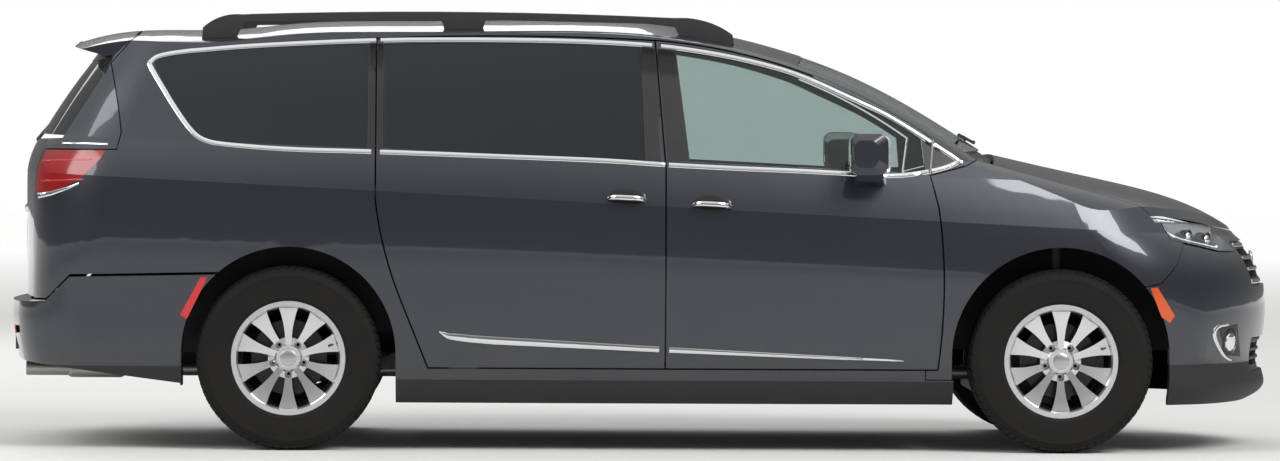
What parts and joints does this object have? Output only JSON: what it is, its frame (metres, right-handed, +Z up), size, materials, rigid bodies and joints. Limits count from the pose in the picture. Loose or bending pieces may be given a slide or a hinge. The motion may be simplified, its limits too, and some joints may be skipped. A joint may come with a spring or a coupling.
{
  "type": "minivan",
  "caption": "Seven-seat family minivan with hinged front doors, sliding side doors, liftgate, hood, roof rails and alloy wheels",
  "frame": {"origin": "on the ground, below the middle of the length and width", "axes": "+X to the nose, +Y to the left side, +Z up"},
  "size_m": [5.1732, 2.3, 1.7584],
  "materials": {
    "body_paint": "metallic paint, glossy",
    "black_plastic": "moulded, satin",
    "chassis_black": "underbody coating, dull",
    "chassis_steel": "cast and pressed steel",
    "engine_metal": "cast",
    "exhaust_steel": "stainless",
    "interior_plastic": "grained",
    "seat_cloth": "woven",
    "clear_glass": "clear",
    "dark_glass": "tinted",
    "lamp_clear": "clear lens",
    "lamp_red": "red lens",
    "marker_plastic": "lens",
    "tyre": "moulded",
    "wheel_alloy": "machined and lacquered"
  },
  "bodies": {
    "body": {"underbody": "chassis_black", "front_bumper": "body_paint", "grille": "black_plastic", "front_fenders": "body_paint", "roof": "body_paint", "windscreen": "clear_glass", "cowl": "black_plastic", "side_glass": "dark_glass", "rear_bumper": "body_paint", "headlamps": "lamp_clear", "tail_lamps": "lamp_red", "side_markers": "marker_plastic", "roof_rails": "black_plastic", "front_suspension": "chassis_steel", "rear_axle": "chassis_steel", "engine": "engine_metal", "exhaust": "exhaust_steel", "fuel_tank": "chassis_black", "dashboard": "interior_plastic", "front_seats": "seat_cloth", "second_row_seats": "seat_cloth", "third_row_seat": "seat_cloth", "body_side_left": "body_paint", "body_side_right": "body_paint", "sliding_door_left": "body_paint", "sliding_door_right": "body_paint"},
    "hood": {"hood": "body_paint"},
    "liftgate": {"liftgate": "body_paint", "liftgate_glass": "dark_glass"},
    "steering_wheel": {"steering_wheel": "interior_plastic"},
    "front_door_left": {"front_door_left": "body_paint", "front_door_glass_left": "clear_glass", "mirror_left": "black_plastic"},
    "knuckle_left": {"knuckle_left": "chassis_steel"},
    "front_wheel_left": {"tyre_front_left": "tyre", "wheel_front_left": "wheel_alloy"},
    "rear_wheel_left": {"tyre_rear_left": "tyre", "wheel_rear_left": "wheel_alloy"},
    "front_door_right": {"front_door_right": "body_paint", "front_door_glass_right": "clear_glass", "mirror_right": "black_plastic"},
    "knuckle_right": {"knuckle_right": "chassis_steel"},
    "front_wheel_right": {"tyre_front_right": "tyre", "wheel_front_right": "wheel_alloy"},
    "rear_wheel_right": {"tyre_rear_right": "tyre", "wheel_rear_right": "wheel_alloy"}
  },
  "joints": [
    {"name": "front_door_left_hinge", "type": "hinge", "parent": "body", "child": "front_door_left", "pos_m": [1.1, 0.975, 0.6], "axis": [0, 0, -1], "range_deg": [0, 65]},
    {"name": "front_door_right_hinge", "type": "hinge", "parent": "body", "child": "front_door_right", "pos_m": [1.1, -0.975, 0.6], "axis": [0, 0, 1], "range_deg": [0, 65]},
    {"name": "steer_left", "type": "hinge", "parent": "body", "child": "knuckle_left", "pos_m": [1.663, 0.775, 0.205], "axis": [0, -0.1783, 0.984], "range_deg": [-34, 34]},
    {"name": "steer_right", "type": "hinge", "parent": "body", "child": "knuckle_right", "pos_m": [1.663, -0.775, 0.205], "axis": [0, 0.1783, 0.984], "range_deg": [-34, 34]},
    {"name": "steering_wheel_turn", "type": "hinge", "parent": "body", "child": "steering_wheel", "pos_m": [0.813, 0.39, 0.95], "axis": [-0.8988, 0, 0.4384], "range_deg": [-544, 544]},
    {"name": "front_wheel_left_spin", "type": "hinge", "parent": "knuckle_left", "child": "front_wheel_left", "pos_m": [1.663, 0.8675, 0.36865], "axis": [0, 1, 0], "continuous": true},
    {"name": "rear_wheel_left_spin", "type": "hinge", "parent": "body", "child": "rear_wheel_left", "pos_m": [-1.426, 0.8675, 0.36865], "axis": [0, 1, 0], "continuous": true},
    {"name": "front_wheel_right_spin", "type": "hinge", "parent": "knuckle_right", "child": "front_wheel_right", "pos_m": [1.663, -0.8675, 0.36865], "axis": [0, 1, 0], "continuous": true},
    {"name": "rear_wheel_right_spin", "type": "hinge", "parent": "body", "child": "rear_wheel_right", "pos_m": [-1.426, -0.8675, 0.36865], "axis": [0, 1, 0], "continuous": true},
    {"name": "hood_hinge", "type": "hinge", "parent": "body", "child": "hood", "pos_m": [1.38, 0, 1.14], "axis": [0, -1, 0], "range_deg": [0, 48]},
    {"name": "liftgate_hinge", "type": "hinge", "parent": "body", "child": "liftgate", "pos_m": [-2.058, 0, 1.675], "axis": [0, 1, 0], "range_deg": [0, 75]}
  ],
  "couplings": [
    {"joint": "steer_left", "follows": "steering_wheel_turn", "ratio": 0.0625},
    {"joint": "steer_right", "follows": "steering_wheel_turn", "ratio": 0.0625}
  ]
}
